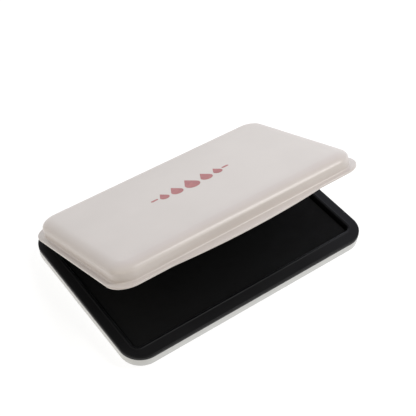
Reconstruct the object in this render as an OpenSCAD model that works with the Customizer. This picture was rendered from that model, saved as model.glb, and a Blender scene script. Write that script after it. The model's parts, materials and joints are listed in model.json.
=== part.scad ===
// Ink pad: a flat plastic case whose hinged lid covers a cloth-faced felt pad in a black tray.
// Origin: centre of the flat underside. +X runs along the hinge, +Y points to the hinge, +Z is up.
// Lengths are in millimetres, angles in degrees. The lid is drawn closed, then swung open.

/* [Case] */
// Width of the case, along the hinge
case_w = 120; // [110:1:150]
// Depth of the case, from its front edge to its hinge side
case_d = 81; // [75:1:110]
// Corner radius of the case, seen from above
case_r = 9.65; // [9:0.05:14]
// Height of the tray's flat rim above the table
rim_h = 7.3; // [7:0.1:12]

/* [Base shell] */
// Thickness of the shell's upright wall
shell_wall = 1.6; // [1.2:0.1:2]
// Height of the shell's floor, with its plinth
shell_floor = 1.45; // [1.3:0.05:2]
// Inset of the shell from the edge of the tray's rim
shell_inset = 0.15; // [0.1:0.05:0.4]
// Radius of the shell's lower edge
shell_edge_r = 1.5; // [0.8:0.1:1.5]
// Height of the flat plinth that the case stands on
plinth_h = 0.8; // [0.4:0.1:1]
// Inset of the plinth from the shell's wall
plinth_inset = 3; // [2:0.5:6]

/* [Ink tray] */
// Thickness of the tray's rim
rim_t = 1.5; // [1:0.05:1.6]
// Width of the rim at the left and right
rim_side = 5.35; // [5:0.05:8]
// Width of the rim at the front and back
rim_front = 6.45; // [5:0.05:8]
// Radius of the rim's outer edge
rim_outer_r = 0.5; // [0.3:0.1:0.8]
// Radius of the rim's inner edge
rim_inner_r = 0.8; // [0.4:0.1:1]
// Thickness of the well's wall
tray_wall = 1.2; // [1.1:0.1:1.6]
// Thickness of the well's floor
tray_floor = 1; // [0.8:0.1:1.2]
// Corner radius of the well
well_r = 2.2; // [1.5:0.1:3]

/* [Pad] */
// Depth of the pad's face below the rim
pad_recess = 1.7; // [1.5:0.1:2.2]
// Gap between the pad and the wall of the well
pad_gap = 0.25; // [0.1:0.05:0.5]
// Thickness of the cloth cover
cloth_t = 0.4; // [0.2:0.05:0.6]
// Thickness of the backing board
board_t = 0.6; // [0.4:0.1:0.8]

/* [Lid] */
// Angle at which the lid stands open
lid_open = 24.1; // [0:0.1:155]
// Height of the lid, from the foot of its flange to its top
lid_h = 7.2; // [7:0.1:9]
// Inset of the lid's front and side edges from the edge of the case
lid_inset = 0.4; // [0.1:0.05:0.8]
// Inset of the lid's back edge, which leaves room for the hinges
lid_back_inset = 2; // [0.8:0.1:2]
// Gap between the closed lid and the rim
lid_gap = 0.15; // [0.1:0.05:0.4]
// Thickness of the lid's wall and top
lid_wall = 1.2; // [1:0.1:1.4]
// Thickness of the lid's flange
flange_t = 0.9; // [0.9:0.1:1.4]
// Width of the flange at the front and sides of the raised part
flange_w = 2.25; // [2:0.05:2.6]
// Width of the flange behind the raised part, on the hinge side
flange_back_w = 3.5; // [3:0.1:3.5]
// Corner radius of the raised part
raised_r = 7.7; // [7.5:0.1:12]
// Radius of the hollow where the flange meets the wall
cove_r = 0.8; // [0.8:0.1:1.4]
// Radius of the shoulder between the wall and the top
shoulder_r = 3.8; // [1.6:0.1:3.8]

/* [Thumb lip] */
// How far the lip stands out in front of the flange
lip_out = 2.5; // [1.5:0.1:3]
// Half the width of the lip
lip_half_w = 35.4; // [20:0.1:45]

/* [Lid liner] */
// Thickness of the liner
liner_t = 1; // [0.8:0.1:1.2]
// Height of the liner's upright edge above its plate
liner_edge_h = 2; // [1:0.1:2.5]
// Depth that the sealing ridge reaches below the rim
ridge_depth = 1.2; // [0.8:0.1:1.3]
// Gap between the sealing ridge and the wall of the well
ridge_gap = 0.5; // [0.4:0.05:0.8]
// Radius of the press nibs on the front of the ridge
nib_r = 0.35; // [0.2:0.05:0.35]

/* [Hinge] */
// Distance of the hinge pins behind the case
hinge_back = 2.5; // [2.3:0.1:3]
// Distance of the hinge pins below the rim
hinge_drop = 0.5; // [0.3:0.1:0.6]
// Distance of each hinge from the middle of the case
hinge_x = 38; // [20:1:42]
// Radius of the hinge knuckles
knuckle_r = 1.75; // [1.5:0.05:1.8]
// Width of the lid's knuckle in each hinge
knuckle_w = 9; // [6:0.5:12]
// Width of each ear beside a knuckle
ear_w = 2.4; // [1.8:0.1:3]
// Side gap between a knuckle and an ear
ear_gap = 0.2; // [0.1:0.05:0.3]
// Radius of the hinge pins
pin_r = 0.75; // [0.6:0.05:0.8]
// Radial running clearance between a pin and the lid's knuckle
pin_clearance = 0.05; // [0.02:0.01:0.08]

/* [Hidden] */
$fn = 48;

// Small working values
seat = 0.05;          // gap between stacked pieces
lap = 0.4;            // overlap of volumes that are joined into one solid
ring_w = 7;           // width of the swept edge of a shell
pin_press = 0.01;     // radial gap of a pin in the ears that hold it
pin_chamfer = 0.15;   // chamfer on a pin's ends
gusset_angle = 30;    // slope of the underside of an ear
flange_edge_r = 0.4;  // radius of the flange's edge
liner_clearance = 0.1;
liner_rise = 0.2;     // height of the liner's plate above the foot of the flange
nib_x = 30;           // distance of each press nib from the middle
nib_w = 8;

// Base
shell_w = case_w - 2 * shell_inset;
shell_d = case_d - 2 * shell_inset;
shell_r = case_r - shell_inset;
shell_top = rim_h - rim_t;

// Tray and pad
well_w = case_w - 2 * rim_side;
well_d = case_d - 2 * rim_front;
tray_z = shell_floor + seat;
well_z = tray_z + tray_floor;
pad_w = well_w - 2 * pad_gap;
pad_d = well_d - 2 * pad_gap;
pad_r = well_r - pad_gap;
pad_z = well_z + seat;
pad_top = rim_h - pad_recess;
core_w = pad_w - 2 * (cloth_t + seat);
core_d = pad_d - 2 * (cloth_t + seat);
core_r = pad_r - cloth_t - seat;

// Lid, closed
lid_z = rim_h + lid_gap;
lid_w = case_w - 2 * lid_inset;
lid_front = -case_d / 2 + lid_inset;
lid_back = case_d / 2 - lid_back_inset;
lid_d = lid_back - lid_front;
lid_y = (lid_front + lid_back) / 2;
lid_r = case_r - lid_inset;
raised_w = lid_w - 2 * flange_w;
raised_d = lid_d - flange_w - flange_back_w;
raised_y = lid_y + (flange_w - flange_back_w) / 2;
cavity_h = lid_h - lid_wall;
cavity_edge_r = shoulder_r - lid_wall;
nose_w = 1.6;         // width of the flange's round-nosed edge strip
lip_r = (lip_half_w * lip_half_w + lip_out * lip_out) / (2 * lip_out);
lip_angle = 2 * asin(lip_half_w / lip_r);
lip_ring_w = lip_out + 0.7;

// Liner
liner_inset = lid_wall + liner_clearance;
ridge_w = well_w - 2 * ridge_gap;
ridge_d = well_d - 2 * ridge_gap;
ridge_r = well_r - ridge_gap;
ridge_foot = rim_h - ridge_depth;

// Hinge axis
pivot_y = case_d / 2 + hinge_back;
pivot_z = rim_h - hinge_drop;
pin_length = knuckle_w + 2 * (ear_gap + ear_w);

// ---- Shared shapes ----

// Rectangle with round corners
module rounded_rect(w, d, r) {
    square([w - 2 * r, d], center = true);
    square([w, d - 2 * r], center = true);
    for (x = [-1, 1], y = [-1, 1])
        translate([x * (w / 2 - r), y * (d / 2 - r)])
            circle(r);
}

// Flat plate with round corners, from z0 up to z1
module plate(w, d, r, z0, z1) {
    translate([0, 0, z0])
        linear_extrude(z1 - z0)
            rounded_rect(w, d, r);
}

// Carries a profile round a rounded rectangle. The profile's x = 0 is the outer edge
// and its y is the height.
module edge_sweep(w, d, r) {
    for (side = [0 : 3]) {
        across = side % 2 == 0 ? w / 2 : d / 2;
        along = side % 2 == 0 ? d / 2 : w / 2;
        rotate([0, 0, 90 * side]) {
            translate([across, along - r, 0])
                rotate([90, 0, 0])
                    linear_extrude(2 * (along - r))
                        children();
            translate([across - r, along - r, 0])
                rotate_extrude(angle = 90)
                    translate([r, 0])
                        children();
        }
    }
}

// Rectangle from [x0, y0] to [x1, y1]
module span(x0, x1, y0, y1) {
    translate([x0, y0])
        square([x1 - x0, y1 - y0]);
}

// Rectangle whose upper outer corner, at x1 and y1, is round
module span_round_top(x0, x1, y0, y1, r) {
    span(x0, x1 - r, y0, y1);
    span(x0, x1, y0, y1 - r);
    translate([x1 - r, y1 - r])
        circle(r);
}

// A strip with both outer edges round
module round_nosed_strip(w, t, r) {
    span(-w, -r, 0, t);
    span(-w, 0, r, t - r);
    for (y = [r, t - r])
        translate([-r, y])
            circle(r);
}

// Extrudes a profile along X about x = middle. The profile's x is the row's Y, its y is Z.
module along_x(middle, length) {
    translate([middle - length / 2, 0, 0])
        rotate([90, 0, 90])
            linear_extrude(length)
                children();
}

// A cylinder along X on the hinge axis
module hinge_cylinder(middle, length, r) {
    along_x(middle, length)
        translate([pivot_y, pivot_z])
            circle(r);
}

// Swings a closed lid piece to the angle at which the lid stands open
module open_lid() {
    translate([0, pivot_y, pivot_z])
        rotate([-lid_open, 0, 0])
            translate([0, -pivot_y, -pivot_z])
                children();
}

// ---- Base ----

module shell_profile() {
    // Upright wall and round lower edge
    translate([0, plinth_h])
        mirror([0, 1])
            translate([0, -shell_top + plinth_h])
                span_round_top(-shell_wall, 0, 0, shell_top - plinth_h, shell_edge_r);
    // Floor behind the round edge
    span(-ring_w, -shell_edge_r, plinth_h, shell_floor);
    // Plinth
    span(-ring_w, -plinth_inset, 0, plinth_h + lap);
}

module ear_profile() {
    wall_y = case_d / 2 - shell_inset - lap;
    tangent_y = pivot_y + knuckle_r * sin(gusset_angle);
    tangent_z = pivot_z - knuckle_r * cos(gusset_angle);
    foot_z = tangent_z - (tangent_y - wall_y) * tan(gusset_angle);
    translate([pivot_y, pivot_z])
        circle(knuckle_r);
    polygon([[wall_y, foot_z], [tangent_y, tangent_z], [pivot_y, pivot_z],
             [pivot_y - knuckle_r / 2, shell_top], [wall_y, shell_top]]);
}

module base_shell() {
    ear_x = (knuckle_w + ear_w) / 2 + ear_gap;
    color("whitesmoke")
        difference() {
            union() {
                edge_sweep(shell_w, shell_d, shell_r)
                    shell_profile();
                translate([0, 0, shell_floor / 2])
                    cube([shell_w - 2 * ring_w + lap, shell_d - 2 * ring_w + lap, shell_floor],
                         center = true);
                for (hinge = [-1, 1], side = [-1, 1])
                    along_x(hinge * hinge_x + side * ear_x, ear_w)
                        ear_profile();
            }
            for (hinge = [-1, 1])
                hinge_cylinder(hinge * hinge_x, pin_length + 2, pin_r + pin_press);
        }
}

// Outer part of the rim, with its round outer edge
module rim_edge_profile() {
    span_round_top(-rim_side + tray_wall / 2, 0, shell_top, rim_h, rim_outer_r);
}

// Wall of the well, drawn outward from the well, with the rim's round inner edge
module well_wall_profile() {
    span(0, tray_wall, tray_z, rim_h - rim_inner_r);
    span(rim_inner_r, tray_wall, tray_z, rim_h);
    translate([rim_inner_r, rim_h - rim_inner_r])
        intersection() {
            circle(rim_inner_r);
            span(-rim_inner_r, 0, 0, rim_inner_r);
        }
}

module ink_tray() {
    inner = tray_wall - lap / 4;
    color("#26242a")
        union() {
            edge_sweep(case_w, case_d, case_r)
                rim_edge_profile();
            difference() {
                plate(case_w - 2, case_d - 2, case_r - 1, shell_top, rim_h);
                plate(well_w + 2 * inner, well_d + 2 * inner, well_r + inner,
                      shell_top - 1, rim_h + 1);
            }
            edge_sweep(well_w, well_d, well_r)
                well_wall_profile();
            plate(well_w + tray_wall, well_d + tray_wall, well_r + tray_wall / 2, tray_z, well_z);
        }
}

module hinge_pin(middle) {
    color("silver")
        translate([middle, pivot_y, pivot_z])
            rotate([0, 90, 0]) {
                cylinder(h = pin_length - 2 * pin_chamfer, r = pin_r, center = true);
                for (end = [0, 1])
                    mirror([0, 0, end])
                        translate([0, 0, pin_length / 2 - pin_chamfer])
                            cylinder(h = pin_chamfer, r1 = pin_r, r2 = pin_r - pin_chamfer);
            }
}

module hinge_pin_left() {
    hinge_pin(-hinge_x);
}

module hinge_pin_right() {
    hinge_pin(hinge_x);
}

// ---- Pad ----

module backing_board() {
    color("tan")
        plate(core_w, core_d, core_r, pad_z, pad_z + board_t);
}

module felt_pad() {
    color("#3a3a40")
        plate(core_w, core_d, core_r, pad_z + board_t + seat, pad_top - cloth_t - seat);
}

// The cloth is stretched over the felt and turned down round the board
module pad_cloth() {
    color("#141416")
        difference() {
            plate(pad_w, pad_d, pad_r, pad_z, pad_top);
            plate(pad_w - 2 * cloth_t, pad_d - 2 * cloth_t, pad_r - cloth_t,
                  pad_z - 1, pad_top - cloth_t);
        }
}

// ---- Lid, drawn closed ----

// Wall, shoulder and roof edge of the raised part, with the hollow at the wall's foot
module raised_profile() {
    difference() {
        union() {
            span_round_top(-ring_w, 0, 0, lid_h, shoulder_r);
            difference() {
                span(-lap, cove_r, flange_t - lap, flange_t + cove_r);
                translate([cove_r, flange_t + cove_r])
                    circle(cove_r);
            }
        }
        span_round_top(-ring_w - 1, -lid_wall, -1, cavity_h, cavity_edge_r);
    }
}

module flange() {
    translate([0, lid_y, 0])
        edge_sweep(lid_w, lid_d, lid_r)
            round_nosed_strip(nose_w, flange_t, flange_edge_r);
    difference() {
        translate([0, lid_y, 0])
            plate(lid_w - nose_w, lid_d - nose_w, lid_r - nose_w / 2, 0, flange_t);
        translate([0, raised_y, 0])
            plate(raised_w - lid_wall, raised_d - lid_wall, raised_r - lid_wall / 2,
                  -1, flange_t + 1);
    }
}

// A shallow arc in front of the flange, as thick as the flange
module thumb_lip() {
    translate([0, lid_front - lip_out + lip_r, lid_z])
        rotate([0, 0, -90 - lip_angle / 2])
            rotate_extrude(angle = lip_angle)
                translate([lip_r, 0])
                    span(-lip_ring_w, 0, 0, flange_t);
}

// Knuckle round the pin, with the arm that joins it to the flange
module knuckle_profile() {
    arm_y = lid_back - flange_back_w / 4;
    translate([pivot_y, pivot_z])
        circle(knuckle_r);
    polygon([[arm_y, lid_z], [arm_y, lid_z + flange_t], [pivot_y, pivot_z + knuckle_r],
             [pivot_y, pivot_z], [pivot_y - knuckle_r * 0.8, lid_z]]);
}

module lid_shell() {
    color("#d9d4ce")
        open_lid()
            difference() {
                union() {
                    translate([0, 0, lid_z])
                        flange();
                    translate([0, raised_y, lid_z]) {
                        edge_sweep(raised_w, raised_d, raised_r)
                            raised_profile();
                        translate([0, 0, lid_h - lid_wall / 2])
                            cube([raised_w - 2 * ring_w + lap, raised_d - 2 * ring_w + lap,
                                  lid_wall], center = true);
                    }
                    thumb_lip();
                    for (hinge = [-1, 1])
                        along_x(hinge * hinge_x, knuckle_w)
                            knuckle_profile();
                }
                for (hinge = [-1, 1])
                    hinge_cylinder(hinge * hinge_x, knuckle_w + 1, pin_r + pin_clearance);
            }
}

module lid_liner() {
    w = raised_w - 2 * liner_inset;
    d = raised_d - 2 * liner_inset;
    r = raised_r - liner_inset;
    foot = lid_z + liner_rise;
    color("#2b292e")
        open_lid() {
            // Plate with an upright edge that grips the inside of the lid
            translate([0, raised_y, 0])
                difference() {
                    plate(w, d, r, foot, foot + liner_t + liner_edge_h);
                    plate(w - 2 * liner_t, d - 2 * liner_t, r - liner_t,
                          foot + liner_t, foot + lid_h);
                }
            // Ridge that dips into the well and seals it
            difference() {
                plate(ridge_w, ridge_d, ridge_r, ridge_foot, foot + lap);
                plate(ridge_w - 2 * liner_t, ridge_d - 2 * liner_t, ridge_r - liner_t,
                      ridge_foot - 1, foot);
            }
            // Press nibs
            for (side = [-1, 1])
                along_x(side * nib_x, nib_w)
                    translate([-ridge_d / 2, ridge_foot + nib_r])
                        circle(nib_r);
        }
}

base_shell();
ink_tray();
backing_board();
felt_pad();
pad_cloth();
hinge_pin_left();
hinge_pin_right();
lid_shell();
lid_liner();
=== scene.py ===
import json
import math

import bmesh
import bpy
from mathutils import Matrix, Vector


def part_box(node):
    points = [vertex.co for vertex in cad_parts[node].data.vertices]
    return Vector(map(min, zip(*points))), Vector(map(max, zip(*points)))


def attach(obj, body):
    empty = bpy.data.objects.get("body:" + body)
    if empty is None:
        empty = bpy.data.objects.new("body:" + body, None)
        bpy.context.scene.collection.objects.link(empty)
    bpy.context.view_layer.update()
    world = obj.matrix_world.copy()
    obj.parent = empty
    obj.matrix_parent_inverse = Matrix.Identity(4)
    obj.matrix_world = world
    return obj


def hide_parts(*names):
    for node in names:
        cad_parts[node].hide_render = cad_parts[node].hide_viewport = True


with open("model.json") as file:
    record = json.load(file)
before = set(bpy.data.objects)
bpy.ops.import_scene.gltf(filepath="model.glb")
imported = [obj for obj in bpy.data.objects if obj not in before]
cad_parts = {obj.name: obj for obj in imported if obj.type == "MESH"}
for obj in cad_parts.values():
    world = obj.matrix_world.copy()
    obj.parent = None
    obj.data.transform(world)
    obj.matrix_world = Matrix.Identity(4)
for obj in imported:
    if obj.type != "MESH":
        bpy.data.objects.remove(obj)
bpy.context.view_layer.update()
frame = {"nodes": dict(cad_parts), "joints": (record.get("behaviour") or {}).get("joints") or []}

# An ink pad in metres, in the frame of its CAD model: +X along the hinge, +Y to the hinge, +Z up.
# The lid's pieces are drawn closed and then swung open about the hinge, as the CAD model is.

MM = 0.001


# ---- Sizes ----

tray_low, tray_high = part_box("ink_tray")
shell_low, shell_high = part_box("base_shell")
cloth_low, cloth_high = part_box("pad_cloth")
pin_low, pin_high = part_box("hinge_pin_right")
hinge = frame["joints"][0]

CASE_W = tray_high.x - tray_low.x
CASE_D = tray_high.y - tray_low.y
CASE_R = 9.65 * MM
RIM_Z = tray_high.z
PIVOT = Vector(hinge["pos_m"])
LID_ANGLE = math.radians(-hinge["range_deg"][0])

# Base shell
SHELL_W = shell_high.x - shell_low.x
SHELL_INSET = (CASE_W - SHELL_W) / 2
SHELL_D = CASE_D - 2 * SHELL_INSET
SHELL_R = CASE_R - SHELL_INSET
SHELL_WALL = 1.6 * MM
SHELL_EDGE_R = 1.5 * MM
SHELL_LIP_R = 0.15 * MM
SHELL_FLOOR = 1.45 * MM
PLINTH_H = 0.8 * MM
PLINTH_INSET = 3 * MM
PLINTH_EDGE_R = 0.25 * MM

# Ink tray
RIM_T = 1.6 * MM
RIM_OUTER_R = 0.5 * MM
RIM_INNER_R = 0.8 * MM
BEAD_W = 0.8 * MM
BEAD_H = 0.11 * MM
WELL_W = CASE_W - 2 * 5.35 * MM
WELL_D = CASE_D - 2 * 6.45 * MM
WELL_R = 2.2 * MM
WELL_WALL = 1.2 * MM
WELL_FILLET_R = 0.4 * MM
TRAY_FLOOR = 1 * MM
TRAY_GAP = 0.05 * MM

# Lid, closed
LID_INSET = 0.4 * MM
LID_BACK_INSET = 2 * MM
LID_GAP = 0.15 * MM
LID_FRONT = -CASE_D / 2 + LID_INSET
LID_BACK = CASE_D / 2 - LID_BACK_INSET
LID_W = CASE_W - 2 * LID_INSET
LID_D = LID_BACK - LID_FRONT
LID_Y = (LID_FRONT + LID_BACK) / 2
LID_R = CASE_R - LID_INSET
LID_Z = RIM_Z + LID_GAP
LID_H = 7.45 * MM
LID_WALL = 1.2 * MM
LID_CROWN = 0.08 * MM
FLANGE_T = 0.9 * MM
FLANGE_W = 2.25 * MM
FLANGE_BACK_W = 3.5 * MM
FLANGE_TOP_R = 0.3 * MM
FLANGE_FOOT_R = 0.12 * MM
RAISED_W = LID_W - 2 * FLANGE_W
RAISED_D = LID_D - FLANGE_W - FLANGE_BACK_W
RAISED_R = 8.2 * MM
RAISED_Y = LID_Y + (FLANGE_W - FLANGE_BACK_W) / 2
COVE_R = 0.6 * MM
SHOULDER_W = 6 * MM
SHOULDER_H = 3 * MM
LIP_OUT = 2.5 * MM
LIP_HALF_W = 35.4 * MM
LIP_R = (LIP_HALF_W ** 2 + LIP_OUT ** 2) / (2 * LIP_OUT)

# Liner
LINER_T = 1 * MM
LINER_GAP = 0.1 * MM
LINER_RISE = 0.2 * MM
LINER_EDGE_H = 2 * MM
LINER_EDGE_R = 0.25 * MM
RIDGE_GAP = 0.5 * MM
RIDGE_DEPTH = 1.2 * MM
NIB_R = 0.35 * MM
NIB_X = 30 * MM
NIB_W = 8 * MM

# Hinge
HINGE_X = (pin_low.x + pin_high.x) / 2
KNUCKLE_R = 1.75 * MM
KNUCKLE_W = 9 * MM
EAR_W = 2.4 * MM
EAR_GAP = 0.2 * MM
PIN_R = (pin_high.z - pin_low.z) / 2
PIN_CLEARANCE = 0.05 * MM
PIN_PRESS = 0.01 * MM
GUSSET_DEGREES = 30
GUSSET_ANGLE = math.radians(GUSSET_DEGREES)
EAR_LAP = 0.4 * MM
ARM_REACH = 0.8 * KNUCKLE_R    # an arm's section ends inside its barrel, on this radius

# Points along an outline
CORNER_STEPS = 14
SIDE_STEPS = 64
BARREL_SIDES = 36
NIB_SIDES = 16

OPEN = (Matrix.Translation(PIVOT) @ Matrix.Rotation(-LID_ANGLE, 4, "X")
        @ Matrix.Translation(-PIVOT))


# ---- Mesh helpers ----

def outline(w, d, r, y0=0.0):
    """Points round a rounded rectangle, anticlockwise. The last side is the front."""
    points = []
    corners = ((1, -1, -90), (1, 1, 0), (-1, 1, 90), (-1, -1, 180))
    for number, (sx, sy, start) in enumerate(corners):
        centre = Vector((sx * (w / 2 - r), y0 + sy * (d / 2 - r)))
        for step in range(CORNER_STEPS + 1):
            angle = math.radians(start + 90 * step / CORNER_STEPS)
            points.append(centre + r * Vector((math.cos(angle), math.sin(angle))))
        next_x, next_y, next_start = corners[(number + 1) % 4]
        angle = math.radians(next_start)
        goal = Vector((next_x * (w / 2 - r), y0 + next_y * (d / 2 - r)))
        goal += r * Vector((math.cos(angle), math.sin(angle)))
        last = points[-1].copy()
        for step in range(1, SIDE_STEPS):
            points.append(last.lerp(goal, step / SIDE_STEPS))
    return points


def ring(w, d, r, z, inset=0.0, y0=0.0, lip=False):
    """An outline moved inward by inset, at height z. lip adds the thumb lip to its front.
    A flat face ends in a small ring, whose inset the functions below call middle."""
    radius = max(r - inset, 0.05 * MM)
    points = outline(w - 2 * inset, d - 2 * inset, radius, y0)
    if lip:
        front = y0 - d / 2 + inset
        for p in points:
            if abs(p.x) < LIP_HALF_W and p.y < front + 0.01 * MM:
                p.y -= LIP_OUT - LIP_R + math.sqrt(LIP_R ** 2 - p.x ** 2)
    return [Vector((p.x, p.y, z)) for p in points]


def arc(steps, start, end):
    """Angles from start to end, in degrees, as radians."""
    return [math.radians(start + (end - start) * i / steps) for i in range(steps + 1)]


def add_loft(bm, rings, close=False):
    """Faces between rings that follow each other. The first and last rings are filled,
    or joined to each other if close is set."""
    loops = [[bm.verts.new(p) for p in points] for points in rings]
    count = len(loops[0])
    pairs = list(zip(loops, loops[1:]))
    if close:
        pairs.append((loops[-1], loops[0]))
    for low, high in pairs:
        for i in range(count):
            j = (i + 1) % count
            bm.faces.new((low[i], low[j], high[j], high[i]))
    if not close:
        bm.faces.new(loops[0][::-1])
        bm.faces.new(loops[-1])


def add_bar(bm, points, x0, x1):
    """A bar along X with that section, as (y, z) points."""
    add_loft(bm, [[Vector((x, y, z)) for y, z in points] for x in (x0, x1)])


def add_barrel(bm, hole_r, x0, x1):
    """A tube round the hinge axis, from x0 to x1, with the knuckles' outer radius."""
    sections = []
    for radius, x in ((KNUCKLE_R, x0), (KNUCKLE_R, x1), (hole_r, x1), (hole_r, x0)):
        points = circle_points(0, 360 - 360 / BARREL_SIDES, BARREL_SIDES - 1, radius)
        sections.append([Vector((x, y, z)) for y, z in points])
    add_loft(bm, sections, close=True)


def finish_mesh(bm, name, sharp=30, turn=None):
    """Makes an object of bm. Edges over sharp degrees stay sharp."""
    bmesh.ops.recalc_face_normals(bm, faces=bm.faces)
    if turn:
        bmesh.ops.transform(bm, matrix=turn, verts=bm.verts)
    mesh = bpy.data.meshes.new(name)
    bm.to_mesh(mesh)
    bm.free()
    mesh.shade_smooth()
    mesh.set_sharp_from_angle(angle=math.radians(sharp))
    piece = bpy.data.objects.new(name, mesh)
    bpy.context.scene.collection.objects.link(piece)
    return piece


# ---- Materials ----

def srgb(r, g, b):
    """A display colour, 0 to 255, as linear red, green, blue and alpha."""
    out = []
    for value in (r, g, b):
        c = value / 255
        out.append(c / 12.92 if c <= 0.04045 else ((c + 0.055) / 1.055) ** 2.4)
    return (*out, 1.0)


class Nodes:
    """A material's node tree, with short calls for the nodes that the materials share."""

    def __init__(self, name):
        self.material = bpy.data.materials.new(name)
        self.material.use_nodes = True
        self.tree = self.material.node_tree
        self.shader = self.tree.nodes["Principled BSDF"]
        self.place = self.add("ShaderNodeTexCoord").outputs["Object"]

    def add(self, kind, **values):
        node = self.tree.nodes.new(kind)
        for key, value in values.items():
            setattr(node, key, value)
        return node

    def link(self, a, b):
        self.tree.links.new(a, b)

    def noise(self, scale, detail=3.0, roughness=0.5, place=None):
        node = self.add("ShaderNodeTexNoise")
        node.inputs["Scale"].default_value = scale
        node.inputs["Detail"].default_value = detail
        node.inputs["Roughness"].default_value = roughness
        self.link(place or self.place, node.inputs["Vector"])
        return node.outputs["Fac"]

    def spread(self, value, low, high, start=0.3, end=0.7):
        """Maps value's start and end to low and high."""
        node = self.add("ShaderNodeMapRange")
        node.inputs["From Min"].default_value = start
        node.inputs["From Max"].default_value = end
        node.inputs["To Min"].default_value = low
        node.inputs["To Max"].default_value = high
        self.link(value, node.inputs["Value"])
        return node.outputs["Result"]

    def mix(self, factor, first, second):
        """Mixes two colours, each a tuple or a socket."""
        # Inputs 6 and 7 and output 2 are the node's colours
        node = self.add("ShaderNodeMix", data_type="RGBA")
        self.link(factor, node.inputs["Factor"])
        for socket, colour in ((node.inputs[6], first), (node.inputs[7], second)):
            if isinstance(colour, tuple):
                socket.default_value = colour
            else:
                self.link(colour, socket)
        return node.outputs[2]

    def maths(self, operation, first, second=None):
        node = self.add("ShaderNodeMath", operation=operation)
        for socket, value in zip(node.inputs, (first, second)):
            if value is None:
                continue
            if isinstance(value, (int, float)):
                socket.default_value = value
            else:
                self.link(value, socket)
        return node.outputs[0]

    def bump(self, height, distance, strength=1.0, under=None):
        node = self.add("ShaderNodeBump")
        node.inputs["Distance"].default_value = distance
        node.inputs["Strength"].default_value = strength
        self.link(height, node.inputs["Height"])
        if under:
            self.link(under, node.inputs["Normal"])
        return node.outputs["Normal"]


def moulded_plastic(name, main, deep, rough, grain_depth, grain_scale, specular=0.5):
    """Injection-moulded plastic: a fine mould grain, and faint patches of tone and gloss."""
    n = Nodes(name)
    patches = n.noise(45, 4)
    fine = n.noise(260, 2)
    tone = n.mix(n.spread(patches, 0, 1, 0.35, 0.65), main, deep)
    n.link(tone, n.shader.inputs["Base Color"])
    handling = n.noise(70, 2)
    rough_low, rough_high = rough
    n.link(n.spread(handling, rough_low, rough_high, 0.2, 0.8), n.shader.inputs["Roughness"])
    grain = n.noise(grain_scale, 1)
    soft = n.bump(fine, 0.01 * MM, 0.15)
    n.link(n.bump(grain, grain_depth, 1.0, soft), n.shader.inputs["Normal"])
    n.shader.inputs["IOR"].default_value = 1.5
    n.shader.inputs["Specular IOR Level"].default_value = specular
    return n.material


def inked_cloth(name):
    """A plain weave of fine thread, soaked with black ink, with a few specks of lint."""
    n = Nodes(name)
    thread = 0.42 * MM
    split = n.add("ShaderNodeSeparateXYZ")
    n.link(n.place, split.inputs[0])
    warp_phase = n.maths("MULTIPLY", split.outputs["X"], math.pi / thread)
    weft_phase = n.maths("MULTIPLY", split.outputs["Y"], math.pi / thread)
    warp = n.maths("SINE", warp_phase)
    weft = n.maths("SINE", weft_phase)
    # Warp and weft pass over each other in turn
    crossing = n.maths("MULTIPLY", warp, weft)
    over = n.spread(crossing, 0, 1, -0.2, 0.2)
    warp_round = n.maths("ABSOLUTE", warp)
    weft_round = n.maths("ABSOLUTE", weft)
    # Inputs 2 and 3 and output 0 are the node's numbers
    pick = n.add("ShaderNodeMix", data_type="FLOAT")
    n.link(over, pick.inputs["Factor"])
    n.link(warp_round, pick.inputs[2])
    n.link(weft_round, pick.inputs[3])
    weave = pick.outputs[0]
    slub = n.noise(260, 4, 0.6)
    wet = n.noise(120, 4, 0.6)
    tone = n.mix(n.spread(wet, 0, 1, 0.35, 0.65), srgb(5, 5, 6), srgb(12, 12, 13))
    tone = n.mix(n.spread(weave, 0, 0.4, 0.55, 1.0), tone, srgb(14, 14, 15))
    lint = n.add("ShaderNodeTexVoronoi", feature="F1")
    lint.inputs["Scale"].default_value = 55
    lint.inputs["Randomness"].default_value = 1.0
    n.link(n.place, lint.inputs["Vector"])
    speck = n.maths("LESS_THAN", lint.outputs["Distance"], 0.014)
    tone = n.mix(speck, tone, srgb(78, 78, 80))
    n.link(tone, n.shader.inputs["Base Color"])
    n.link(n.spread(wet, 0.62, 0.86), n.shader.inputs["Roughness"])
    n.shader.inputs["Specular IOR Level"].default_value = 0.14
    n.shader.inputs["Sheen Weight"].default_value = 0.01
    uneven = n.bump(slub, 0.05 * MM, 0.5)
    n.link(n.bump(weave, 0.09 * MM, 0.9, uneven), n.shader.inputs["Normal"])
    return n.material


def pressed_felt(name):
    """Dark felt: fine fibres in faint clumps."""
    n = Nodes(name)
    fibres = n.noise(900, 6, 0.7)
    clumps = n.noise(160, 3)
    tone = n.mix(n.spread(clumps, 0, 1), srgb(22, 22, 26), srgb(40, 40, 46))
    n.link(tone, n.shader.inputs["Base Color"])
    n.link(n.spread(fibres, 0.8, 1.0), n.shader.inputs["Roughness"])
    n.link(n.bump(fibres, 0.2 * MM), n.shader.inputs["Normal"])
    return n.material


def grey_board(name):
    """Uncoated grey board, with a fine pulp."""
    n = Nodes(name)
    pulp = n.noise(520, 5, 0.65)
    tone = n.mix(n.spread(pulp, 0, 1), srgb(136, 126, 110), srgb(158, 148, 131))
    n.link(tone, n.shader.inputs["Base Color"])
    n.link(n.spread(pulp, 0.8, 0.95), n.shader.inputs["Roughness"])
    n.link(n.bump(pulp, 0.05 * MM), n.shader.inputs["Normal"])
    return n.material


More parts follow.
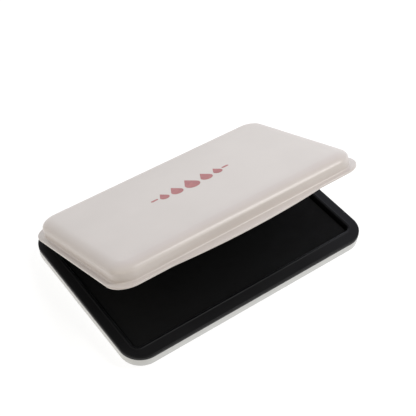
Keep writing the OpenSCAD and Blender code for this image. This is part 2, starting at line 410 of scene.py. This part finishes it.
def drawn_wire(name):
    """Steel wire, with fine lines along its length."""
    n = Nodes(name)
    stretch = n.add("ShaderNodeMapping")
    stretch.inputs["Scale"].default_value = (60, 4000, 4000)
    n.link(n.place, stretch.inputs["Vector"])
    lines = n.noise(1, 3, 0.5, stretch.outputs["Vector"])
    tone = n.mix(n.spread(lines, 0, 1), srgb(150, 150, 152), srgb(196, 196, 196))
    n.link(tone, n.shader.inputs["Base Color"])
    n.shader.inputs["Metallic"].default_value = 1.0
    n.link(n.spread(lines, 0.22, 0.4), n.shader.inputs["Roughness"])
    n.link(n.bump(lines, 0.01 * MM, 0.6), n.shader.inputs["Normal"])
    return n.material


def printed_ink(name):
    """Pad-printed ink that is a little worn and uneven."""
    n = Nodes(name)
    body = n.noise(380, 4, 0.6)
    tone = n.mix(n.spread(body, 0, 1, 0.35, 0.65), srgb(160, 92, 94), srgb(176, 112, 112))
    n.link(tone, n.shader.inputs["Base Color"])
    n.link(n.spread(body, 0.4, 0.55), n.shader.inputs["Roughness"])
    n.link(n.bump(body, 0.01 * MM, 0.5), n.shader.inputs["Normal"])
    return n.material


def paper_floor(name):
    """Matt white paper. It glows, so that it stays pale in the object's shade."""
    n = Nodes(name)
    haze = n.noise(3, 2)
    n.link(n.mix(n.spread(haze, 0, 1), (0.3, 0.3, 0.3, 1), (0.32, 0.32, 0.32, 1)),
           n.shader.inputs["Base Color"])
    n.shader.inputs["Roughness"].default_value = 0.9
    n.shader.inputs["Specular IOR Level"].default_value = 0.2
    n.shader.inputs["Emission Color"].default_value = (1, 1, 1, 1)
    n.shader.inputs["Emission Strength"].default_value = 0.8
    # Large and even, so it isn't sampled as a lamp
    n.material.cycles.emission_sampling = "NONE"
    return n.material


LID_PLASTIC = moulded_plastic("lid_plastic", srgb(200, 192, 188), srgb(197, 189, 185),
                              (0.275, 0.3), 0.0004 * MM, 2200)
CASE_PLASTIC = moulded_plastic("case_plastic", srgb(200, 200, 199), srgb(197, 197, 196),
                               (0.29, 0.33), 0.0004 * MM, 2200)
TRAY_PLASTIC = moulded_plastic("tray_plastic", srgb(12, 12, 14), srgb(10, 10, 12),
                               (0.34, 0.5), 0.008 * MM, 1500, 0.19)
PAD_CLOTH = inked_cloth("pad_cloth")
FELT = pressed_felt("felt")
BOARD = grey_board("board")
PIN_STEEL = drawn_wire("pin_steel")
MARK_INK = printed_ink("mark_ink")


def use(piece, material):
    """Gives a piece its material."""
    piece.data.materials.clear()
    piece.data.materials.append(material)


# ---- Base ----

def circle_points(start, end, steps, radius=KNUCKLE_R):
    """(y, z) points on a circle round the hinge axis, from start to end degrees."""
    return [(PIVOT.y + radius * math.cos(a), PIVOT.z + radius * math.sin(a))
            for a in arc(steps, start, end)]


def ear_arm():
    """Section of the gusset that carries a barrel on the base's back wall."""
    wall_y = CASE_D / 2 - SHELL_INSET - EAR_LAP
    tangent_y = PIVOT.y + KNUCKLE_R * math.sin(GUSSET_ANGLE)
    tangent_z = PIVOT.z - KNUCKLE_R * math.cos(GUSSET_ANGLE)
    foot_z = tangent_z - (tangent_y - wall_y) * math.tan(GUSSET_ANGLE)
    top_z = RIM_Z - RIM_T
    meet = 180 + math.degrees(math.asin((PIVOT.z - top_z) / KNUCKLE_R))
    return (circle_points(meet, meet, 1)[:1]
            + circle_points(meet, 270 + GUSSET_DEGREES, 8, ARM_REACH)
            + [(tangent_y, tangent_z), (wall_y, foot_z), (wall_y, top_z)])


def make_base_shell():
    bm = bmesh.new()
    size = (SHELL_W, SHELL_D, SHELL_R)
    top = RIM_Z - RIM_T
    middle = 38 * MM
    halfway = 12 * MM
    rings = [ring(*size, 0, middle), ring(*size, 0, halfway)]
    for a in arc(3, 0, 90):
        rings.append(ring(*size, PLINTH_EDGE_R * (1 - math.cos(a)),
                          PLINTH_INSET + PLINTH_EDGE_R * (1 - math.sin(a))))
    rings.append(ring(*size, PLINTH_H, PLINTH_INSET))
    for a in arc(10, 0, 90):
        rings.append(ring(*size, PLINTH_H + SHELL_EDGE_R * (1 - math.cos(a)),
                          SHELL_EDGE_R * (1 - math.sin(a))))
    for a in arc(3, 0, 90):
        rings.append(ring(*size, top - SHELL_LIP_R * (1 - math.sin(a)),
                          SHELL_LIP_R * (1 - math.cos(a))))
    rings.append(ring(*size, top, SHELL_WALL))
    rings.append(ring(*size, SHELL_FLOOR, SHELL_WALL))
    rings.append(ring(*size, SHELL_FLOOR, middle))
    add_loft(bm, rings)
    ear_x = (KNUCKLE_W + EAR_W) / 2 + EAR_GAP
    for pin_x in (-HINGE_X, HINGE_X):
        for side in (-1, 1):
            x = pin_x + side * ear_x
            add_barrel(bm, PIN_R + PIN_PRESS, x - EAR_W / 2, x + EAR_W / 2)
            add_bar(bm, ear_arm(), x - EAR_W / 2, x + EAR_W / 2)
    shell = finish_mesh(bm, "base_shell_moulding", 40)
    use(shell, CASE_PLASTIC)
    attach(shell, "base")
    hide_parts("base_shell")


def make_ink_tray():
    bm = bmesh.new()
    case = (CASE_W, CASE_D, CASE_R)
    well = (WELL_W, WELL_D, WELL_R)
    foot = SHELL_FLOOR + TRAY_GAP
    floor = foot + TRAY_FLOOR
    under = RIM_Z - RIM_T
    middle = 32 * MM
    rings = [ring(*well, floor, middle)]
    for a in arc(4, 0, 90):
        rings.append(ring(*well, floor + WELL_FILLET_R * (1 - math.cos(a)),
                          WELL_FILLET_R * (1 - math.sin(a))))
    for a in arc(8, 0, 90):
        rings.append(ring(*well, RIM_Z - RIM_INNER_R * (1 - math.sin(a)),
                          -RIM_INNER_R * (1 - math.cos(a))))
    # Low bead round the well
    bead_steps = 8
    for step in range(1, bead_steps):
        share = step / bead_steps
        rings.append(ring(*well, RIM_Z + BEAD_H * math.sin(math.pi * share) ** 2,
                          -RIM_INNER_R - BEAD_W * share))
    rings.append(ring(*well, RIM_Z, -RIM_INNER_R - BEAD_W))
    for a in arc(8, 0, 90):
        rings.append(ring(*case, RIM_Z - RIM_OUTER_R * (1 - math.cos(a)),
                          RIM_OUTER_R * (1 - math.sin(a))))
    rings.append(ring(*case, under, 0.0))
    rings.append(ring(*well, under, -WELL_WALL))
    rings.append(ring(*well, foot, -WELL_WALL))
    rings.append(ring(*well, foot, middle))
    add_loft(bm, rings)
    tray = finish_mesh(bm, "ink_tray_moulding", 40)
    use(tray, TRAY_PLASTIC)
    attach(tray, "base")
    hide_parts("ink_tray")


# ---- Pad ----

PAD_SCALE = 10    # the cloth is simulated ten times as large as it is
PAD_SWELL = 0.3 * MM    # how far the cloth may rise
PAD_EDGE_R = 0.9 * MM
PAD_CORNER_R = 2 * MM
PAD_STEP = 2 * MM
PAD_END_ROWS = (0.0, 0.1, 0.3, 0.6, 0.9, 1.4)    # in mm from the pad's sides
PAD_HELD_H = 0.4 * MM    # the cloth is held up to this height
CLOTH_FRAMES = 20
CLOTH_PRESSURE = 4.0
CLOTH_STIFFNESS = 40
CLOTH_BENDING = 4.0


def grid_places(half):
    """Places from -half to half, closer together at the rounded ends."""
    ends = [row * MM for row in PAD_END_ROWS]
    inner = half - PAD_CORNER_R
    count = round(2 * inner / PAD_STEP)
    between = [-inner + 2 * inner * i / count for i in range(count + 1)]
    return [e - half for e in ends] + between + [half - e for e in reversed(ends)]


def pad_top_point(x, y, half_w, half_d, top):
    """A point on the pad's top. The corners and the upper edge are rounded off."""
    u = max(abs(x) - half_w + PAD_CORNER_R, 0)
    v = max(abs(y) - half_d + PAD_CORNER_R, 0)
    round_u = u * math.sqrt(1 - (v / PAD_CORNER_R) ** 2 / 2)
    round_v = v * math.sqrt(1 - (u / PAD_CORNER_R) ** 2 / 2)
    inside = PAD_CORNER_R - math.hypot(round_u, round_v)
    over = min(max(PAD_EDGE_R - inside, 0), PAD_EDGE_R)
    z = top - PAD_EDGE_R + math.sqrt(PAD_EDGE_R ** 2 - over ** 2)
    return Vector((x + math.copysign(round_u - u, x), y + math.copysign(round_v - v, y), z))


def pad_start():
    """A closed slab with an even grid on top and round upper edges, a little below its height."""
    low, high = cloth_low, cloth_high
    half_w, half_d = (high.x - low.x) / 2, (high.y - low.y) / 2
    top = high.z - PAD_SWELL
    bm = bmesh.new()
    grid = []
    for y in grid_places(half_d):
        points = [pad_top_point(x, y, half_w, half_d, top) for x in grid_places(half_w)]
        grid.append([bm.verts.new(p) for p in points])
    for row, after in zip(grid, grid[1:]):
        for i in range(len(row) - 1):
            bm.faces.new((row[i], row[i + 1], after[i + 1], after[i]))
    upper = grid[0] + [row[-1] for row in grid[1:-1]]
    upper += grid[-1][::-1] + [row[0] for row in grid[-2:0:-1]]
    for z in ((low.z + top) / 2, low.z):
        lower = [bm.verts.new((v.co.x, v.co.y, z)) for v in upper]
        for i, vertex in enumerate(upper):
            j = (i + 1) % len(upper)
            bm.faces.new((lower[i], lower[j], upper[j], vertex))
        upper = lower
    bm.faces.new(upper[::-1])
    return finish_mesh(bm, "pad_cover", 60)


def swell(pad):
    """Inflates the pad slightly with Blender's cloth, so that its face is softly crowned."""
    pad.data.transform(Matrix.Scale(PAD_SCALE, 4))
    start = [v.co.copy() for v in pad.data.vertices]
    low = min(v.z for v in start)
    held = pad.vertex_groups.new(name="held")
    held_top = low + PAD_HELD_H * PAD_SCALE
    held.add([i for i, v in enumerate(start) if v.z < held_top], 1.0, "REPLACE")
    cloth = pad.modifiers.new("Cloth", "CLOTH")
    cloth.settings.vertex_group_mass = "held"
    cloth.settings.use_pressure = True
    cloth.settings.uniform_pressure_force = CLOTH_PRESSURE
    cloth.settings.effector_weights.gravity = 0.0
    cloth.settings.tension_stiffness = CLOTH_STIFFNESS
    cloth.settings.compression_stiffness = CLOTH_STIFFNESS
    cloth.settings.bending_stiffness = CLOTH_BENDING
    cloth.point_cache.frame_start = 1
    cloth.point_cache.frame_end = CLOTH_FRAMES
    scene = bpy.context.scene
    for number in range(1, CLOTH_FRAMES + 1):
        scene.frame_set(number)
    shown = pad.evaluated_get(bpy.context.evaluated_depsgraph_get())
    moved = [v.co.copy() for v in shown.data.vertices]
    pad.modifiers.remove(cloth)
    scene.frame_set(1)
    rise = max((m.z - s.z for m, s in zip(moved, start)), default=0.0)
    limit = PAD_SWELL * PAD_SCALE
    keep = min(1.0, limit / rise) if rise > 0 else 1.0
    # The felt is just below, so the cloth can rise but not sink
    for vertex, before, after in zip(pad.data.vertices, start, moved):
        step = max((after.z - before.z) * keep, 0.0)
        vertex.co = before + Vector((0, 0, step))
    pad.data.transform(Matrix.Scale(1 / PAD_SCALE, 4))
    pad.vertex_groups.clear()


def make_pad():
    pad = pad_start()
    swell(pad)
    use(pad, PAD_CLOTH)
    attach(pad, "base")
    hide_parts("pad_cloth")


# ---- Lid ----

def lid_top(x, y):
    """Height of the lid's top at a place, closed: a very slight crown."""
    half = Vector((RAISED_W / 2 - SHOULDER_W, RAISED_D / 2 - SHOULDER_W))
    u = min(abs(x) / half.x, 1)
    v = min(abs(y - RAISED_Y) / half.y, 1)
    return LID_Z + LID_H - LID_CROWN * (1 - (1 - u ** 2) * (1 - v ** 2))


def lid_arm():
    """Section of the arm between a barrel and the lid's flange."""
    arm_y = LID_BACK - FLANGE_BACK_W / 4
    meet = 180 - math.degrees(math.asin((LID_Z - PIVOT.z) / KNUCKLE_R))
    return ([(arm_y, LID_Z), (arm_y, LID_Z + FLANGE_T)] + circle_points(90, 90, 1)[:1]
            + circle_points(90, meet, 8, ARM_REACH) + circle_points(meet, meet, 1)[:1])


def make_lid_shell():
    bm = bmesh.new()
    raised = (RAISED_W, RAISED_D, RAISED_R)
    edge = (LID_W, LID_D, LID_R)
    top = LID_Z + LID_H
    middle = 34 * MM
    spacing = 2.4 * MM
    clear_of_shoulder = 1.5 * MM
    rings = []
    inset = middle
    while inset > SHOULDER_W + clear_of_shoulder:
        rings.append(ring(*raised, top, inset, RAISED_Y))
        inset -= spacing
    for a in arc(24, 90, 0):
        rings.append(ring(*raised, top - LID_CROWN - SHOULDER_H * (1 - math.sin(a)),
                          SHOULDER_W * (1 - math.cos(a)), RAISED_Y))
    for a in arc(8, 0, 90):
        rings.append(ring(*raised, LID_Z + FLANGE_T + COVE_R * (1 - math.sin(a)),
                          -COVE_R * (1 - math.cos(a)), RAISED_Y))
    for a in arc(5, 90, 0):
        rings.append(ring(*edge, LID_Z + FLANGE_T - FLANGE_TOP_R * (1 - math.sin(a)),
                          FLANGE_TOP_R * (1 - math.cos(a)), LID_Y, lip=True))
    for a in arc(3, 0, 90):
        rings.append(ring(*edge, LID_Z + FLANGE_FOOT_R * (1 - math.sin(a)),
                          FLANGE_FOOT_R * (1 - math.cos(a)), LID_Y, lip=True))
    chamfer = 0.2 * MM
    rings.append(ring(*raised, LID_Z, LID_WALL - chamfer, RAISED_Y))
    rings.append(ring(*raised, LID_Z + chamfer, LID_WALL, RAISED_Y))
    inner_w = SHOULDER_W - LID_WALL
    inner_h = SHOULDER_H - LID_WALL
    roof = top - LID_CROWN - LID_WALL
    for a in arc(6, 0, 90):
        rings.append(ring(*raised, roof - inner_h * (1 - math.sin(a)),
                          LID_WALL + inner_w * (1 - math.cos(a)), RAISED_Y))
    rings.append(ring(*raised, roof, middle, RAISED_Y))
    # Crown the rings of the flat top
    for points in rings:
        for p in points:
            if p.z == top:
                p.z = lid_top(p.x, p.y)
    add_loft(bm, rings)
    for pin_x in (-HINGE_X, HINGE_X):
        add_barrel(bm, PIN_R + PIN_CLEARANCE, pin_x - KNUCKLE_W / 2, pin_x + KNUCKLE_W / 2)
        add_bar(bm, lid_arm(), pin_x - KNUCKLE_W / 2, pin_x + KNUCKLE_W / 2)
    lid = finish_mesh(bm, "lid_moulding", 40, OPEN)
    use(lid, LID_PLASTIC)
    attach(lid, "lid")
    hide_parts("lid_shell")


def make_lid_liner():
    bm = bmesh.new()
    inset = LID_WALL + LINER_GAP
    liner = (RAISED_W - 2 * inset, RAISED_D - 2 * inset, RAISED_R - inset)
    ridge = (WELL_W - 2 * RIDGE_GAP, WELL_D - 2 * RIDGE_GAP, WELL_R - RIDGE_GAP)
    foot = LID_Z + LINER_RISE
    low = RIM_Z - RIDGE_DEPTH
    edge = LINER_EDGE_R
    ridge_middle = 30 * MM
    liner_middle = 32 * MM
    rings = [ring(*ridge, foot, ridge_middle), ring(*ridge, foot, LINER_T)]
    for a in arc(3, 0, 90):
        rings.append(ring(*ridge, low + edge * (1 - math.sin(a)),
                          LINER_T - edge * (1 - math.cos(a))))
    for a in arc(3, 90, 0):
        rings.append(ring(*ridge, low + edge * (1 - math.sin(a)), edge * (1 - math.cos(a))))
    rings.append(ring(*ridge, foot, 0.0))
    for a in arc(3, 90, 0):
        rings.append(ring(*liner, foot + edge * (1 - math.sin(a)),
                          edge * (1 - math.cos(a)), RAISED_Y))
    rings.append(ring(*liner, foot + LINER_T + LINER_EDGE_H, 0.0, RAISED_Y))
    rings.append(ring(*liner, foot + LINER_T + LINER_EDGE_H, LINER_T, RAISED_Y))
    rings.append(ring(*liner, foot + LINER_T, LINER_T, RAISED_Y))
    rings.append(ring(*liner, foot + LINER_T, liner_middle, RAISED_Y))
    add_loft(bm, rings)
    # Press nibs on the front of the ridge, narrower at their ends
    for side in (-1, 1):
        nib = []
        for x in (-NIB_W / 2, -NIB_W / 2 + NIB_R, NIB_W / 2 - NIB_R, NIB_W / 2):
            radius = NIB_R if abs(x) < NIB_W / 2 - NIB_R / 2 else NIB_R / 2
            nib.append([Vector((side * NIB_X + x,
                                -ridge[1] / 2 + radius * math.cos(a),
                                low + NIB_R + radius * math.sin(a)))
                        for a in arc(NIB_SIDES, 0, 360)[:-1]])
        add_loft(bm, nib)
    piece = finish_mesh(bm, "lid_liner_moulding", 40, OPEN)
    use(piece, TRAY_PLASTIC)
    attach(piece, "lid")
    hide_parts("lid_liner")


# ---- Printed mark: ink drops between two rules, with no letters ----

MARK_LIFT = 0.02 * MM
MARK_T = 0.02 * MM
MARK_CENTRE = Vector((0.4 * MM, 0.9 * MM))
DROP_H = 10 * MM
DROP_ROUND = 0.33    # radius of a drop's foot, as a share of its height
DROPS = ((0.0, 1.0), (7.4, 0.8), (13.4, 0.62))    # mm from the middle, share of DROP_H
RULE_L = 3.4 * MM
RULE_H = 1.3 * MM
RULE_X = 17.8 * MM


def drop_outline(size):
    """A drop with a round foot and a pointed head, size high, centred on its middle."""
    points = []
    radius = DROP_ROUND * size
    reach = size - radius
    meet = math.degrees(math.acos(radius / reach))
    for a in arc(22, 90 + meet, 450 - meet):
        points.append(Vector((radius * math.cos(a), radius * math.sin(a))))
    points.append(Vector((0, reach)))
    return [p - Vector((0, (reach - radius) / 2)) for p in points]


def bar_outline(length, height):
    """A rule with round ends."""
    radius = height / 2
    points = []
    for side, start in ((1, -90), (-1, 90)):
        for a in arc(8, start, start + 180):
            points.append(Vector((side * (length / 2 - radius) + radius * math.cos(a),
                                  radius * math.sin(a))))
    return points


def add_print(bm, points, centre):
    """A flat print on the lid's top, as thin as ink."""
    low = []
    high = []
    for p in points:
        x, y = centre.x + p.x, centre.y + p.y
        z = lid_top(x, y) + MARK_LIFT
        low.append(Vector((x, y, z - MARK_LIFT / 2)))
        high.append(Vector((x, y, z + MARK_T)))
    add_loft(bm, [low, high])


def make_mark():
    bm = bmesh.new()
    for place, share in DROPS:
        for side in ((-1, 1) if place else (1,)):
            add_print(bm, drop_outline(DROP_H * share),
                      MARK_CENTRE + Vector((side * place * MM, 0)))
    for side in (-1, 1):
        add_print(bm, bar_outline(RULE_L, RULE_H), MARK_CENTRE + Vector((side * RULE_X, 0)))
    mark = finish_mesh(bm, "printed_drops", 30, OPEN)
    use(mark, MARK_INK)
    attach(mark, "lid")


# ---- CAD nodes that stay ----

def dress_cad_nodes():
    for name, material in (("felt_pad", FELT), ("backing_board", BOARD),
                           ("hinge_pin_left", PIN_STEEL), ("hinge_pin_right", PIN_STEEL)):
        node = frame["nodes"][name]
        use(node, material)
        node.data.shade_smooth()
        node.data.set_sharp_from_angle(angle=math.radians(35))


# ---- Studio ----

FLOOR_REACH = 3.0    # from the middle to each side


def make_floor():
    bm = bmesh.new()
    bmesh.ops.create_grid(bm, x_segments=8, y_segments=8, size=FLOOR_REACH)
    floor = finish_mesh(bm, "studio_floor")
    floor.data.materials.append(paper_floor("studio_paper"))


# Bright surfaces round the table, as the ink pad sees them: the direction in degrees from +X, the
# height of its middle (0 is the horizon, 1 is overhead), how wide and tall it looks, and its light
BRIGHT_SURFACES = (
    ("backdrop", 60, 0.03, 0.5, 0.08, (2.15, 2.35, 2.3)),
    ("wall above the backdrop", 60, 0.45, 0.5, 0.2, (1.2, 1.18, 1.4)),
    ("sweep on the right", 0, 0.04, 0.5, 0.1, (0.5, 0.7, 0.9)),
    ("card in front", 300, 0.4, 0.4, 0.2, (1.36, 1.34, 1.22)),
    ("card on the left", 180, 0.45, 0.5, 0.2, (1.74, 1.6, 1.36)),
    ("ceiling", 135, 0.87, 0.4, 0.2, (0.93, 0.96, 0.92)),
)


def make_world():
    """A dark room with a few soft, bright surfaces."""
    world = bpy.data.worlds.new("Studio")
    bpy.context.scene.world = world
    world.use_nodes = True
    tree = world.node_tree

    def add(kind, operation, first, second=None):
        node = tree.nodes.new(kind)
        node.operation = operation
        for socket, value in zip(node.inputs, (first, second)):
            if isinstance(value, (int, float, tuple)):
                socket.default_value = value
            elif value is not None:
                tree.links.new(value, socket)
        return node

    direction = tree.nodes.new("ShaderNodeTexCoord").outputs["Generated"]
    total = None
    for label, compass, height, wide, tall, light in BRIGHT_SURFACES:
        reach = math.sqrt(1 - height ** 2)
        angle = math.radians(compass)
        middle = (reach * math.cos(angle), reach * math.sin(angle), height)
        away = add("ShaderNodeVectorMath", "SUBTRACT", direction, middle).outputs[0]
        away = add("ShaderNodeVectorMath", "DIVIDE", away, (wide, wide, tall)).outputs[0]
        squared = add("ShaderNodeVectorMath", "DOT_PRODUCT", away, away).outputs["Value"]
        halved = add("ShaderNodeMath", "MULTIPLY", squared, -0.5).outputs[0]
        fade = add("ShaderNodeMath", "EXPONENT", halved).outputs[0]
        glow = add("ShaderNodeVectorMath", "SCALE", light)
        glow.label = label
        tree.links.new(fade, glow.inputs["Scale"])
        if total is None:
            total = glow.outputs[0]
        else:
            total = add("ShaderNodeVectorMath", "ADD", total, glow.outputs[0]).outputs[0]
    back = tree.nodes["Background"]
    tree.links.new(total, back.inputs["Color"])
    back.inputs["Strength"].default_value = 1.0


# Strip light, from its left end to its right end
STRIP_ENDS = (Vector((0.165, 0.03, 0.61)), Vector((0.4, -0.471, 0.389)))
STRIP_WIDTH = 0.1
STRIP_POWER = 2.2
STRIP_AIM = Vector((0, -0.03, 0.03))


def make_lights():
    """A slanted strip light above the front right. It draws the line on the lid's shoulder."""
    strip = bpy.data.lights.new("strip_light", "AREA")
    strip.shape = "RECTANGLE"
    first, last = STRIP_ENDS
    strip.size = (last - first).length
    strip.size_y = STRIP_WIDTH
    strip.energy = STRIP_POWER
    lamp = bpy.data.objects.new("strip_light", strip)
    bpy.context.scene.collection.objects.link(lamp)
    middle = (first + last) / 2
    lengthwise = (last - first).normalized()
    across = (middle - STRIP_AIM).cross(lengthwise).normalized()
    away = lengthwise.cross(across)
    turn = Matrix((lengthwise, across, away)).transposed().to_4x4()
    lamp.matrix_world = Matrix.Translation(middle) @ turn


# The view of the photograph: direction of the camera, its roll, and where it looks
VIEW_AZIMUTH = math.radians(-36.75)
VIEW_ELEVATION = math.radians(45.92)
VIEW_ROLL = math.radians(1.255)
VIEW_DISTANCE = 426.5 * MM
VIEW_TARGET = Vector((11.96 * MM, 10.80 * MM, RIM_Z))
VIEW_LENS = 84.16
SENSOR = 36.0


def make_camera():
    camera = bpy.data.cameras.new("Camera")
    camera.lens = VIEW_LENS
    camera.sensor_width = SENSOR
    camera.clip_start = 0.01
    camera.clip_end = 20
    holder = bpy.data.objects.new("Camera", camera)
    bpy.context.scene.collection.objects.link(holder)
    back = Vector((math.sin(VIEW_AZIMUTH) * math.cos(VIEW_ELEVATION),
                   -math.cos(VIEW_AZIMUTH) * math.cos(VIEW_ELEVATION),
                   math.sin(VIEW_ELEVATION)))
    level = Vector((math.cos(VIEW_AZIMUTH), math.sin(VIEW_AZIMUTH), 0))
    rise = back.cross(level)
    right = math.cos(VIEW_ROLL) * level + math.sin(VIEW_ROLL) * rise
    up = math.cos(VIEW_ROLL) * rise - math.sin(VIEW_ROLL) * level
    turn = Matrix((right, up, back)).transposed().to_4x4()
    holder.matrix_world = Matrix.Translation(VIEW_TARGET + back * VIEW_DISTANCE) @ turn
    bpy.context.scene.camera = holder


def set_colour_management():
    view = bpy.context.scene.view_settings
    view.view_transform = "Standard"
    view.look = "None"
    view.exposure = 0.0
    view.gamma = 1.0


make_camera()
set_colour_management()
make_base_shell()
make_ink_tray()
make_pad()
make_lid_shell()
make_lid_liner()
make_mark()
dress_cad_nodes()
make_floor()
make_world()
make_lights()
